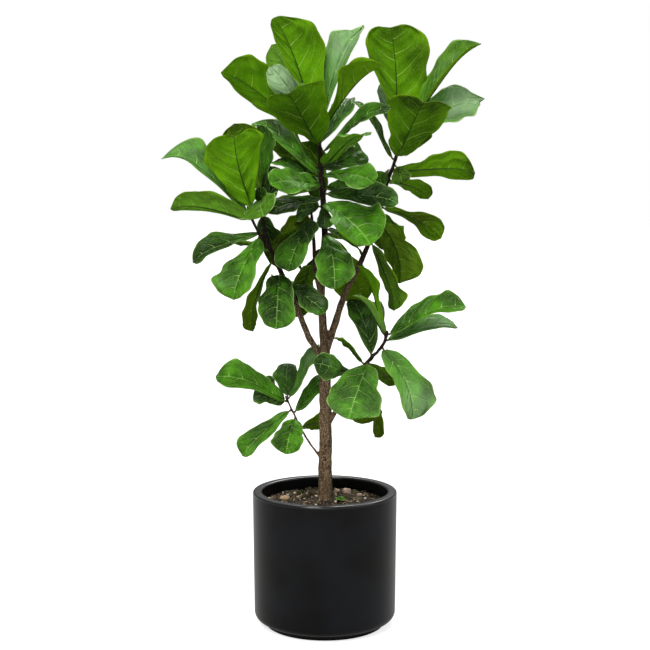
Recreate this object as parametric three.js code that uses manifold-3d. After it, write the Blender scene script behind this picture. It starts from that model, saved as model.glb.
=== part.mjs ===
// Potted fiddle leaf fig (Ficus lyrata): a branched tree, 1.67 m tall with its round planter.
// Millimetres, +Z up. The origin is the centre of the planter's foot, and the tree's best side faces -Y.
import * as THREE from "three";
import { mergeVertices } from "three/addons/utils/BufferGeometryUtils.js";
import Module from "manifold-3d";

const wasm = await Module();
wasm.setup();

// Driving dimensions
const GAP = 0.3; // between pieces that touch
const POT = {
  height: 376,
  rimRadius: 200, // outside, at the top
  wallRadius: 196.5, // outside, just above the turn
  turn: 22, // radius of the rounded turn under the wall
  footRadius: 166,
  footHeight: 15,
  lip: 26, // thickness of the rim
  lipDepth: 51,
  wall: 11,
  floor: 16,
  edge: 3, // rounding of the rim's and the foot's edges
  segments: 48,
};
const SOIL = { top: 341, dome: 6, buried: 130 }; // buried: how deep the trunk stands in it

// Stones lying on the soil: [x, y], then length, width and height, and the way they point, in degrees
const STONES = [
  [[61, 80], [29, 24, 21], 15],
  [[35, 92], [23, 18, 16], 60],
  [[-112, 12], [32, 22, 14], 12],
  [[99, 58], [20, 14, 11], -35],
];
const PETIOLE = { length: 24, heelRadius: 3.2, radius: 2.2 };
const BLADE = { half: 0.6, keel: 2.2 }; // half the thickness beside the midrib, and the rib's depth below

// Half width of the blade along its midrib, as shares of its length and of its widest half
const OUTLINE = [
  [0.05, 0.3],
  [0.18, 0.53],
  [0.38, 0.75],
  [0.6, 0.97],
  [0.8, 0.97],
  [0.94, 0.66],
];

// Woody stems: knots of [x, y, z, radius] from the bottom up
const STEMS = {
  trunk: {
    sides: 16,
    knots: [
      [1, 0, SOIL.top - SOIL.buried, 15],
      [1, 0, 300, 21.5],
      [1, 0, 345, 20.5],
      [2, 0, 490, 18],
      [1, 0, 630, 17],
      [1, 0, 745, 15.5],
      [0, 0, 800, 13],
    ],
  },
  centre: {
    sides: 12,
    knots: [
      [0, 0, 765, 13],
      [-6, 4, 850, 11.5],
      [-10, 10, 915, 10.5],
      [-5, 16, 990, 10],
      [0, 18, 1080, 9.5],
      [-3, 16, 1140, 8.8],
      [-6, 12, 1206, 8],
      [-11, 10, 1275, 7],
      [-15, 10, 1335, 5.8],
      [-18, 14, 1400, 4.2],
    ],
  },
  right: {
    sides: 12,
    knots: [
      [3, 0, 765, 11],
      [28, 4, 840, 10],
      [56, 14, 925, 9],
      [90, 26, 990, 8],
      [122, 42, 1062, 7.2],
      [150, 60, 1150, 6.2],
      [177, 76, 1240, 5.6],
      [196, 84, 1290, 5],
      [211, 94, 1374, 3.8],
    ],
  },
  left: {
    sides: 12,
    knots: [
      [0, 0, 735, 9],
      [-45, -12, 808, 8.4],
      [-78, -30, 895, 7.8],
      [-114, -46, 977, 6.8],
      [-145, -58, 1045, 6],
      [-159, -64, 1088, 5.6],
      [-167, -66, 1143, 5],
      [-170, -66, 1208, 3.6],
    ],
  },
  leftShoot: {
    sides: 10,
    knots: [
      [-147, -58, 1050, 4.5],
      [-169, -78, 1080, 4.4],
      [-190, -98, 1124, 4.2],
      [-204, -114, 1166, 3.4],
    ],
  },
  inner: {
    sides: 10,
    knots: [
      [-9, 10, 905, 6.5],
      [-21, -16, 961, 6.2],
      [-27, -24, 1010, 6],
      [-30, -30, 1070, 5.4],
      [-36, -32, 1148, 3.8],
    ],
  },
  lowRight: {
    sides: 10,
    knots: [
      [8, 0, 560, 8],
      [34, -12, 607, 6.6],
      [73, -34, 672, 6],
      [117, -58, 745, 5.6],
      [142, -70, 772, 5.2],
      [160, -80, 799, 4.8],
      [168, -88, 832, 3.6],
    ],
  },
  lowLeft: {
    sides: 8,
    knots: [
      [-4, -2, 460, 4.5],
      [-37, 6, 500, 3.7],
      [-62, 20, 538, 3.5],
      [-79, 30, 571, 3.3],
      [-98, 40, 608, 3.2],
      [-110, 48, 634, 2.8],
    ],
  },
};

// Leaves: the stem and the height that each grows from, where its tip is, the way its upper side
// faces, its greatest width, how far its midrib arches towards that side, and how far its halves
// fold up from flat, in degrees
const LEAVES = [
  // the middle of the crown
  ["centre", 1392, [-132, 30, 1672], [0.1, 1, 0.2], 150, 12, 10],
  ["centre", 1328, [-104, -190, 1474], [0.1, 0.85, 0.5], 164, 15, 6],
  ["centre", 1368, [-142, -70, 1532], [-0.3, -0.7, 0.6], 98, 20, 8],
  ["centre", 1350, [-270, -15, 1532], [0.4, 0.8, 0.5], 138, 18, 10],
  ["centre", 1382, [-140, 150, 1601], [0, 1, 0.3], 105, 12, 8],
  ["centre", 1398, [86, 90, 1643], [-0.4, -0.9, 0.2], 104, 14, 24],
  ["centre", 1368, [146, -60, 1545], [-0.6, 0.4, 0.7], 110, 14, 16],
  ["centre", 1334, [69, 214, 1479], [-0.4, -0.8, 0.5], 100, 12, 10],
  ["centre", 1308, [163, -110, 1432], [-0.4, -0.6, 0.75], 78, 14, 10],
  ["centre", 1272, [104, -150, 1362], [-0.3, 0.35, 0.85], 92, 20, 8],
  ["centre", 1245, [-199, 120, 1404], [0.4, -0.7, 0.6], 92, 16, 10],
  ["centre", 1222, [-132, -200, 1236], [-0.1, -0.85, 0.5], 108, 16, 8],
  ["centre", 1246, [120, -200, 1240], [0.1, -0.85, 0.5], 112, 18, 8],
  ["centre", 1172, [118, -190, 1080], [0.2, -0.85, 0.5], 140, 18, 6],
  ["centre", 1196, [194, -70, 1182], [0, -0.75, 0.65], 102, 14, 8],
  ["centre", 1085, [26, -150, 956], [0, -0.95, 0.3], 104, 16, 8],
  ["centre", 1070, [113, 130, 899], [-0.2, 1, 0], 108, 16, 8],
  // the right branch
  ["right", 1368, [180, 110, 1662], [0.1, 1, 0.1], 168, 10, 8],
  ["right", 1295, [271, -60, 1460], [-0.2, 0.85, 0.5], 168, 12, 6],
  ["right", 1366, [412, 70, 1617], [-0.8, -0.3, 0.5], 105, 14, 30],
  ["right", 1345, [424, 130, 1469], [-0.4, -0.8, 0.5], 100, 14, 12],
  ["right", 1288, [90, 112, 1458], [0.8, -0.3, 0.5], 85, 14, 12],
  ["right", 1262, [414, 40, 1262], [0, 0.8, 0.6], 98, 20, 10],
  ["right", 1235, [296, 190, 1189], [0.1, 0.5, 0.8], 80, 20, 10],
  ["right", 1160, [329, 130, 1079], [0.2, 0.8, 0.6], 92, 18, 10],
  ["right", 1125, [217, 120, 949], [0.5, 0.85, 0], 122, 16, 8],
  ["right", 1062, [204, 60, 876], [0.8, 0.4, 0.2], 90, 14, 8],
  // the left branch
  ["leftShoot", 1160, [-233, -195, 1362], [0.1, 1, 0.2], 148, 10, 6],
  ["leftShoot", 1150, [-419, -130, 1327], [0.3, -0.7, 0.7], 92, 20, 10],
  ["leftShoot", 1132, [-405, -125, 1169], [0, 0.75, 0.65], 104, 14, 10],
  ["left", 1204, [-165, -125, 1376], [0.95, -0.35, 0], 92, 10, 8],
  ["left", 1185, [-161, -265, 1154], [-0.55, 0.1, 0.85], 110, 10, 8],
  ["left", 1095, [-356, -100, 1026], [-0.2, -0.6, 0.8], 84, 18, 10],
  ["leftShoot", 1086, [-246, -165, 927], [-0.5, -0.8, 0.3], 112, 16, 8],
  ["left", 1020, [-209, -10, 826], [-0.9, 0.4, 0.1], 85, 14, 8],
  ["left", 985, [-128, -165, 850], [0, -0.95, 0.3], 102, 16, 8],
  ["left", 950, [2, -120, 888], [0.3, -0.8, 0.6], 80, 14, 8],
  ["inner", 1130, [-98, -150, 1002], [-0.3, -0.85, 0.4], 104, 18, 8],
  // the low right branch
  ["lowRight", 742, [62, -185, 612], [-0.2, -0.95, 0.3], 136, 14, 6],
  ["lowRight", 786, [241, -165, 607], [0.4, -0.9, 0.2], 112, 16, 8],
  ["lowRight", 822, [371, -110, 909], [-0.2, -0.6, 0.8], 86, 14, 12],
  ["lowRight", 805, [367, 0, 843], [0, -0.5, 0.85], 90, 18, 10],
  ["lowRight", 826, [82, -170, 940], [0.6, -0.1, 0.8], 100, 16, 30],
  ["lowRight", 758, [74, 75, 911], [0.3, -0.9, 0.3], 90, 12, 8],
  ["lowRight", 818, [101, -30, 1007], [0.8, 0.35, 0.3], 56, 16, 12],
  ["lowRight", 735, [30, -80, 815], [0.5, 0.25, 0.8], 60, 10, 8],
  ["lowRight", 700, [-23, -140, 754], [-0.1, -0.85, 0.5], 80, 14, 8],
  // the low left branch
  ["lowLeft", 620, [-297, 0, 699], [-0.1, -0.85, 0.5], 82, 12, 8],
  ["lowLeft", 629, [-104, 130, 719], [0, -0.9, 0.4], 80, 10, 8],
  ["lowLeft", 624, [-25, 50, 782], [-0.8, -0.4, 0.4], 72, 10, 10],
  ["lowLeft", 588, [4, 130, 685], [-0.3, -0.8, 0.5], 74, 12, 8],
  ["lowLeft", 596, [-233, 0, 476], [-0.4, -0.8, 0.4], 72, 14, 8],
  ["lowLeft", 574, [-106, -70, 496], [0, -0.85, 0.5], 88, 14, 6],
];

const V = THREE.Vector3;
const v = (list) => new V(list[0], list[1], list[2]);

// A closed skin over rings of points, each clockwise as seen looking along it. A ring of one point is a tip.
function loft(rings) {
  const position = [];
  const index = [];
  const starts = rings.map((ring) => {
    const start = position.length / 3;
    ring.forEach((p) => position.push(p.x, p.y, p.z));
    return start;
  });
  for (let i = 0; i + 1 < rings.length; i++) {
    const [a, b] = [rings[i].length, rings[i + 1].length];
    for (let k = 0; k < Math.max(a, b); k++) {
      const [a0, a1] = [starts[i] + (k % a), starts[i] + ((k + 1) % a)];
      const [b0, b1] = [starts[i + 1] + (k % b), starts[i + 1] + ((k + 1) % b)];
      if (a > 1) index.push(a0, a1, b0);
      if (b > 1) index.push(a1, b1, b0);
    }
  }
  const last = rings.length - 1;
  for (let k = 1; k + 1 < rings[0].length; k++) index.push(starts[0], starts[0] + k + 1, starts[0] + k);
  for (let k = 1; k + 1 < rings[last].length; k++)
    index.push(starts[last], starts[last] + k, starts[last] + k + 1);
  const geometry = new THREE.BufferGeometry();
  geometry.setAttribute("position", new THREE.Float32BufferAttribute(position, 3));
  geometry.setIndex(index);
  return geometry;
}

// A ring of points round a centre, square to the way it runs
function ring(centre, side, up, radius, count) {
  return Array.from({ length: count }, (_, k) => {
    const turn = Math.PI - (2 * Math.PI * k) / count;
    return centre
      .clone()
      .addScaledVector(side, radius * Math.cos(turn))
      .addScaledVector(up, radius * Math.sin(turn));
  });
}

// The part of a vector that is square to an axis, at length 1
const squareTo = (vector, axis) => vector.clone().addScaledVector(axis, -vector.dot(axis)).normalize();

// A stem as a line of centres and radii, smoothed once between its knots
function makeStem({ knots, sides }) {
  const curve = new THREE.CatmullRomCurve3(knots.map(v));
  const count = 2 * (knots.length - 1);
  const stations = Array.from({ length: count + 1 }, (_, i) => ({
    centre: curve.getPoint(i / count),
    along: curve.getTangent(i / count),
    radius: (knots[Math.floor(i / 2)][3] + knots[Math.ceil(i / 2)][3]) / 2,
  }));
  return { stations, sides };
}

function stemGeometry({ stations, sides }, grow = 0) {
  const front = new V(0, -1, 0);
  return loft(
    stations.map(({ centre, along, radius }, i) => {
      const up = squareTo(front, along);
      const middle = i === 0 ? centre.clone().addScaledVector(along, -grow) : centre;
      return ring(middle, along.clone().cross(up), up, radius + grow, sides);
    }),
  );
}

// Where a stem is at a height: on the straight line between two of its stations
function stemAt({ stations }, height) {
  const i = Math.min(
    stations.length - 2,
    Math.max(0, stations.findIndex((s) => s.centre.z > height) - 1),
  );
  const [a, b] = [stations[i], stations[i + 1]];
  const share = (height - a.centre.z) / (b.centre.z - a.centre.z);
  return {
    centre: a.centre.clone().lerp(b.centre, share),
    along: b.centre.clone().sub(a.centre).normalize(),
    radius: a.radius + (b.radius - a.radius) * share,
  };
}

// One leaf with its stalk: eight points a ring, left edge, three above, right edge, three below
function leafGeometry(stems, [stem, height, end, face, width, arch, fold]) {
  const root = stemAt(stems[stem], height);
  const tip = v(end);
  const out = squareTo(tip.clone().sub(root.centre), root.along);
  const start = root.centre.clone().addScaledVector(out, root.radius + GAP);
  const length = tip.distanceTo(start);
  const heading = tip.clone().sub(start).normalize();
  const upper = squareTo(v(face), heading);
  const curve = new THREE.CubicBezierCurve3(
    start,
    start.clone().addScaledVector(out, 0.6 * PETIOLE.length).addScaledVector(heading, 0.1 * length),
    start.clone().lerp(tip, 0.6).addScaledVector(upper, arch),
    tip,
  );
  const stalk = PETIOLE.length / curve.getLength();
  const frame = (share) => {
    const along = curve.getTangentAt(share);
    const up = squareTo(upper, along);
    return { centre: curve.getPointAt(share), up, side: along.cross(up) };
  };
  const base = frame(stalk);
  const heelUp = base.side.clone().cross(out).normalize();
  const middle = frame(0.5 * stalk);
  const rings = [
    ring(start, out.clone().cross(heelUp), heelUp, PETIOLE.heelRadius, 8),
    ring(middle.centre, middle.side, middle.up, PETIOLE.radius, 8),
    ring(base.centre, base.side, base.up, PETIOLE.radius, 8),
  ];
  const lean = THREE.MathUtils.degToRad(fold);
  for (const [share, spread] of OUTLINE) {
    const { centre, up, side } = frame(stalk + (1 - stalk) * share);
    const half = (spread * width) / 2;
    const across = (part, lift) =>
      centre
        .clone()
        .addScaledVector(side, part * half * Math.cos(lean))
        .addScaledVector(up, Math.abs(part) * half * Math.sin(lean) + lift);
    rings.push([
      across(-1, 0),
      across(-0.5, BLADE.half),
      across(0, BLADE.half),
      across(0.5, BLADE.half),
      across(1, 0),
      across(0.5, -BLADE.half),
      across(0, -BLADE.keel),
      across(-0.5, -BLADE.half),
    ]);
  }
  rings.push([tip]);
  return loft(rings);
}

// A three.js geometry as a solid that can be joined and cut, and back
function solid(geometry) {
  const bare = new THREE.BufferGeometry().setAttribute("position", geometry.getAttribute("position"));
  bare.setIndex(geometry.getIndex());
  const merged = mergeVertices(bare, 1e-3);
  return new wasm.Manifold(
    new wasm.Mesh({
      numProp: 3,
      vertProperties: merged.attributes.position.array,
      triVerts: new Uint32Array(merged.index.array),
    }),
  );
}

function geometryOf(manifold) {
  const { vertProperties, triVerts } = manifold.getMesh();
  const geometry = new THREE.BufferGeometry();
  geometry.setAttribute("position", new THREE.BufferAttribute(vertProperties, 3));
  geometry.setIndex(new THREE.BufferAttribute(triVerts, 1));
  return geometry;
}

// Lathe profiles run from the axis round to the axis, so that the faces point out
function turned(points, segments) {
  const geometry = new THREE.LatheGeometry(points, segments);
  geometry.rotateX(Math.PI / 2);
  return geometry;
}

// Points along an outline, in the plane of radius and height, without repeats where its pieces join
const outlinePoints = (path, divisions) =>
  path.getPoints(divisions).filter((p, i, all) => i === 0 || p.distanceTo(all[i - 1]) > 0.01);

const lipRadius = POT.rimRadius - POT.lip;
const insideRadius = POT.wallRadius - POT.wall;

function potGeometry() {
  const { height, rimRadius, wallRadius, turn, footRadius, footHeight, lipDepth, floor, edge } = POT;
  const path = new THREE.Path();
  path.moveTo(0, 0);
  path.lineTo(footRadius - edge, 0);
  path.quadraticCurveTo(footRadius, 0, footRadius, edge);
  path.lineTo(footRadius, footHeight);
  path.lineTo(wallRadius - turn, footHeight);
  path.quadraticCurveTo(wallRadius, footHeight, wallRadius, footHeight + turn);
  path.lineTo(rimRadius, height - edge);
  path.quadraticCurveTo(rimRadius, height, rimRadius - edge, height);
  path.lineTo(lipRadius + edge, height);
  path.quadraticCurveTo(lipRadius, height, lipRadius, height - edge);
  path.lineTo(lipRadius, height - lipDepth);
  path.lineTo(insideRadius, height - lipDepth - POT.lip);
  path.lineTo(insideRadius, floor);
  path.lineTo(0, floor);
  return turned(outlinePoints(path, 5), POT.segments);
}

// The soil's surface: a low dome, flat beside the pot
const soilHeight = (radius) => SOIL.top + (SOIL.dome * (1 + Math.cos((Math.PI * radius) / lipRadius))) / 2;

function soilGeometry(trunk) {
  const { height, lip, lipDepth, floor, segments } = POT;
  const edge = lipRadius - GAP;
  const points = [
    [0, floor + GAP],
    [insideRadius - GAP, floor + GAP],
    [insideRadius - GAP, height - lipDepth - lip],
    [edge, height - lipDepth],
    ...[1, 0.75, 0.5, 0.25, 0].map((share) => [edge * share, soilHeight(edge * share)]),
  ];
  const bed = turned(
    points.map((p) => new THREE.Vector2(...p)),
    segments,
  );
  return geometryOf(solid(bed).subtract(solid(stemGeometry(trunk, GAP))));
}

function stoneGeometry([[x, y], [length, width, height], turn]) {
  const stone = new THREE.IcosahedronGeometry(0.5, 2);
  stone.scale(length, width, height);
  stone.rotateZ(THREE.MathUtils.degToRad(turn));
  stone.translate(x, y, soilHeight(Math.hypot(x, y)) + height / 2 + GAP);
  return stone;
}

const group = new THREE.Group();
function add(name, geometry, colour, roughness) {
  const mesh = new THREE.Mesh(geometry, new THREE.MeshStandardMaterial({ color: colour, roughness, metalness: 0 }));
  mesh.name = name;
  group.add(mesh);
}

const stems = Object.fromEntries(Object.entries(STEMS).map(([name, stem]) => [name, makeStem(stem)]));
const wood = Object.values(stems)
  .map((stem) => solid(stemGeometry(stem)))
  .reduce((joined, stem) => joined.add(stem));

add("pot", potGeometry(), 0x242426, 0.45);
add("soil", soilGeometry(stems.trunk), 0x3a2c22, 1);
STONES.forEach((stone, i) => add(`stone_${i + 1}`, stoneGeometry(stone), 0x9a7a5a, 0.8));
add("trunk_and_branches", geometryOf(wood), 0x6b5443, 0.9);
LEAVES.forEach((leaf, i) =>
  add(`leaf_${String(i + 1).padStart(2, "0")}`, leafGeometry(stems, leaf), 0x2f6b1f, 0.4),
);

export default group;
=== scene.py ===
import math

import bmesh
import bpy
import numpy as np
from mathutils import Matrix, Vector, noise


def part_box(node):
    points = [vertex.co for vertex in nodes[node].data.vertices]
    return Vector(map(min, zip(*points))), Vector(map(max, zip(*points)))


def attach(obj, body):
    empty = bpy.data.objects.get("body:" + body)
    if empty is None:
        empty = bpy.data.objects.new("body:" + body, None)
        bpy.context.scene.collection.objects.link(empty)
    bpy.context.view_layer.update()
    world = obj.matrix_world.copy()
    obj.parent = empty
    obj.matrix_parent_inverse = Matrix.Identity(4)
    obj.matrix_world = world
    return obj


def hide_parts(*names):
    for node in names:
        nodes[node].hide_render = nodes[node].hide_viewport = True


# Potted fiddle leaf fig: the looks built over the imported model, in metres, +Z up

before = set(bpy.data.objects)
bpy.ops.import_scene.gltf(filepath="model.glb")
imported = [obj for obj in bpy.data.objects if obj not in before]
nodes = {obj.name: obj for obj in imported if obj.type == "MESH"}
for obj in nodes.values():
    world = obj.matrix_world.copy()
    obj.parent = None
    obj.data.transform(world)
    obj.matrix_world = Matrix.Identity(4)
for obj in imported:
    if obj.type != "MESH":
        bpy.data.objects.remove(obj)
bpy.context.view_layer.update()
mm = 0.001
print("frame loaded:", len(nodes), "nodes")


def deselectAll():
    bpy.ops.object.select_all(action="DESELECT")


def pick(obj):
    deselectAll()
    obj.select_set(True)
    bpy.context.view_layer.objects.active = obj


def intoScene(obj):
    bpy.context.scene.collection.objects.link(obj)


def mode(name):
    bpy.ops.object.mode_set(mode=name)


def points(mesh, kind="co"):
    flat = np.empty(len(mesh.vertices) * 3, np.float32)
    mesh.vertices.foreach_get(kind, flat)
    return flat.reshape(-1, 3).astype(float)


def movePoints(mesh, places):
    mesh.vertices.foreach_set("co", np.asarray(places, np.float32).ravel())
    mesh.update()


def rows(vectors):
    # vectors brought to a length of one
    return vectors / np.maximum(np.linalg.norm(vectors, axis=-1, keepdims=True), 1e-12)


def ease(x, low, high):
    t = np.clip((x - low) / (high - low), 0, 1)
    return t * t * (3 - 2 * t)


def bell(x, width):
    return np.exp(-(x / width) ** 2)


def travelled(line):
    # how far along a line of points each point is
    return np.concatenate([[0], np.cumsum(np.linalg.norm(np.diff(line, axis=0), axis=1))])


def smoothLine(at, values, where):
    # a smooth curve through values given at rising places, read anywhere along it
    at, values, where = (np.asarray(a, float) for a in (at, values, where))
    step = np.diff(at)
    shape = (-1,) + (1,) * (values.ndim - 1)
    slope = np.diff(values, axis=0) / step.reshape(shape)
    inner = (slope[:-1] * step[1:].reshape(shape) + slope[1:] * step[:-1].reshape(shape)) \
        / (step[1:] + step[:-1]).reshape(shape)
    tangent = np.concatenate([slope[:1], inner, slope[-1:]])
    i = np.clip(np.searchsorted(at, where) - 1, 0, len(step) - 1)
    wide = where.shape + (1,) * (values.ndim - 1)
    h = step[i].reshape(wide)
    t = ((where - at[i]) / step[i]).reshape(wide)
    return ((1 + 2 * t) * (1 - t) ** 2 * values[i] + t * (1 - t) ** 2 * h * tangent[i]
            + t * t * (3 - 2 * t) * values[i + 1] + t * t * (t - 1) * h * tangent[i + 1])


def noiseOf(places, scale, seed=0.0):
    return np.array([noise.noise(Vector((p[0] * scale[0] + seed, p[1] * scale[1], p[2] * scale[2])))
                     for p in places])


def added(operator, name, height=0.0, **settings):
    # one of the program's own shapes, on the pot's axis
    deselectAll()
    operator(location=(0, 0, height), **settings)
    obj = bpy.context.object
    obj.name = name
    return obj


def closeUp():
    # caps the selected ring, merges what meets, turns every face outwards and leaves edit mode
    bpy.ops.mesh.edge_face_add()
    bpy.ops.mesh.select_all(action="SELECT")
    bpy.ops.mesh.remove_doubles(threshold=1e-6)
    bpy.ops.mesh.normals_make_consistent(inside=False)
    mode("OBJECT")


def dress(obj, *materials):
    obj.data.materials.clear()
    for material in materials:
        obj.data.materials.append(material)


def smooth(obj):
    pick(obj)
    bpy.ops.object.shade_smooth()


def place(obj, slot, *replaced):
    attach(obj, "root")
    if replaced:
        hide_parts(*replaced)


def copyOf(node, name):
    # a merged copy of a CAD node, which itself stays as it is
    obj = bpy.data.objects.new(name, nodes[node].data.copy())
    intoScene(obj)
    obj.data.name = name
    pick(obj)
    mode("EDIT")
    bpy.ops.mesh.select_all(action="SELECT")
    bpy.ops.mesh.remove_doubles(threshold=1e-6)
    mode("OBJECT")
    return obj


def apply(obj, kind, **settings):
    pick(obj)
    made = obj.modifiers.new(kind.lower(), kind)
    for key, value in settings.items():
        setattr(made, key, value)
    bpy.ops.object.modifier_apply(modifier=made.name)


def newMaterial(name):
    # a material, its tree, and its Principled shader's sockets
    material = bpy.data.materials.new(name)
    material.use_nodes = True
    return material, material.node_tree, material.node_tree.nodes["Principled BSDF"].inputs


def addNode(tree, kind, **settings):
    made = tree.nodes.new(kind)
    for key, value in settings.items():
        setattr(made, key, value)
    return made


def feed(tree, socket, source):
    # a socket takes either a link or a plain number or colour
    if isinstance(source, bpy.types.NodeSocket):
        tree.links.new(source, socket)
    else:
        socket.default_value = source


def maths(tree, operation, *sources):
    made = addNode(tree, "ShaderNodeMath", operation=operation)
    for socket, source in zip(made.inputs, sources):
        feed(tree, socket, source)
    return made.outputs[0]


def ramp(tree, source, low, high, start=0.0, end=1.0):
    made = addNode(tree, "ShaderNodeMapRange", interpolation_type="SMOOTHSTEP")
    for socket, value in zip(made.inputs, (source, low, high, start, end)):
        feed(tree, socket, value)
    return made.outputs[0]


def blendColour(tree, share, first, second):
    made = addNode(tree, "ShaderNodeMix", data_type="RGBA")
    feed(tree, made.inputs["Factor"], share)
    feed(tree, made.inputs[6], first)
    feed(tree, made.inputs[7], second)
    return made.outputs[2]


def stretched(tree, scale, shift=0.0, source=None):
    # object coordinates, or another vector, squeezed along each axis
    mapping = tree.nodes.new("ShaderNodeMapping")
    mapping.inputs["Scale"].default_value = scale
    mapping.inputs["Location"].default_value = (shift, 0, 0)
    if source is None:
        source = tree.nodes.new("ShaderNodeTexCoord").outputs["Object"]
    tree.links.new(source, mapping.inputs["Vector"])
    return mapping.outputs[0]


def noiseAt(tree, vector, scale, detail=2.0, roughness=0.5):
    made = tree.nodes.new("ShaderNodeTexNoise")
    tree.links.new(vector, made.inputs["Vector"])
    made.inputs["Scale"].default_value = scale
    made.inputs["Detail"].default_value = detail
    made.inputs["Roughness"].default_value = roughness
    return made.outputs[0]


def plainNoise(tree, scale, detail=2.0, roughness=0.5, shift=0.0):
    return noiseAt(tree, stretched(tree, (1, 1, 1), shift), scale, detail, roughness)


def cellsAt(tree, vector, scale=1.0, feature="F1"):
    made = addNode(tree, "ShaderNodeTexVoronoi", feature=feature)
    made.inputs["Scale"].default_value = scale
    tree.links.new(vector, made.inputs["Vector"])
    return made.outputs["Distance"]


def axesOf(tree, vector):
    made = tree.nodes.new("ShaderNodeSeparateXYZ")
    tree.links.new(vector, made.inputs[0])
    return made.outputs


def bump(tree, height, strength, distance, target):
    made = tree.nodes.new("ShaderNodeBump")
    made.inputs["Strength"].default_value = strength
    made.inputs["Distance"].default_value = distance
    tree.links.new(height, made.inputs["Height"])
    tree.links.new(made.outputs[0], target)


def coat(tree, main, skin, rough, gloss, height, strength, depth):
    # colour, roughness, gloss and a fine relief, each on the shader's own socket
    for label, source in (("Base Color", skin), ("Roughness", rough), ("Specular IOR Level", gloss)):
        feed(tree, main[label], source)
    bump(tree, height, strength, depth, main["Normal"])


def colour(red, green, blue):
    return (red, green, blue, 1.0)


# The net of a blade: side veins on each half, how far the right half's are shifted from the left half's,
# how much the rib and the veins taper, how they wander, and the cells of the fine mesh
veinNet = dict(pairs=5, stagger=0.3, ribTaper=-0.7, veinTaper=-0.6, wander=0.9, wanderScale=5.0,
               swell=0.6, meshCells=(26, 40, 1), thinShare=0.55)


def makeVeins():
    # midrib, side veins and the fine mesh between them, as masks
    made = bpy.data.node_groups.new("leafVeins", "ShaderNodeTree")
    for label, kind in (("Place", "Vector"), ("Rib width", "Float"), ("Vein width", "Float")):
        made.interface.new_socket(label, in_out="INPUT", socket_type="NodeSocket" + kind)
    for label in ("Rib", "Veins", "Mesh", "Edge", "Margin", "Swell", "Along"):
        made.interface.new_socket(label, in_out="OUTPUT", socket_type="NodeSocketFloat")
    given, out = made.nodes.new("NodeGroupInput").outputs, made.nodes.new("NodeGroupOutput").inputs

    def times(first, second):
        return maths(made, "MULTIPLY", first, second)

    right, up, _ = axesOf(made, given["Place"])
    across = maths(made, "ABSOLUTE", maths(made, "MULTIPLY_ADD", right, 2.0, -1.0))
    ribWidth = times(given["Rib width"], maths(made, "MULTIPLY_ADD", up, veinNet["ribTaper"], 1.0))
    made.links.new(ramp(made, across, ribWidth, times(ribWidth, 0.4)), out["Rib"])

    # the place is pushed about a little, so that no vein runs dead true
    sway = maths(made, "SUBTRACT", plainNoise(made, veinNet["wanderScale"], shift=9.0), 0.5)
    swayed = times(sway, times(across, veinNet["wander"]))
    half = times(maths(made, "GREATER_THAN", right, 0.5), veinNet["stagger"])
    phase = maths(made, "ADD", maths(made, "MULTIPLY_ADD", up, float(veinNet["pairs"]), swayed), half)
    away = maths(made, "PINGPONG", phase, 0.5)
    swell = times(maths(made, "POWER", times(away, 2.0), veinNet["swell"]), ramp(made, across, 0.04, 0.22))
    made.links.new(times(swell, ramp(made, across, 1.0, 0.72)), out["Swell"])
    made.links.new(up, out["Along"])
    narrow = times(given["Vein width"], maths(made, "MULTIPLY_ADD", across, veinNet["veinTaper"], 1.0))
    line = ramp(made, away, narrow, times(narrow, 0.3))

    # a thinner vein forks off between each two, from halfway out
    between = maths(made, "SUBTRACT", 0.5, away)
    thin = ramp(made, between, times(narrow, 0.6), times(narrow, 0.2))
    thin = times(thin, ramp(made, across, 0.30, 0.60, 0.0, veinNet["thinShare"]))
    both = times(maths(made, "MAXIMUM", line, thin), ramp(made, across, 1.0, 0.7))
    made.links.new(both, out["Veins"])
    cells = stretched(made, veinNet["meshCells"], source=given["Place"])
    cells = cellsAt(made, cells, feature="DISTANCE_TO_EDGE")
    for source, low, high, label in ((cells, 0.09, 0.02, "Mesh"), (across, 0.952, 0.975, "Edge"),
                                     (across, 0.62, 1.0, "Margin")):
        made.links.new(ramp(made, source, low, high), out[label])
    return made


leafVeins = makeVeins()


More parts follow.
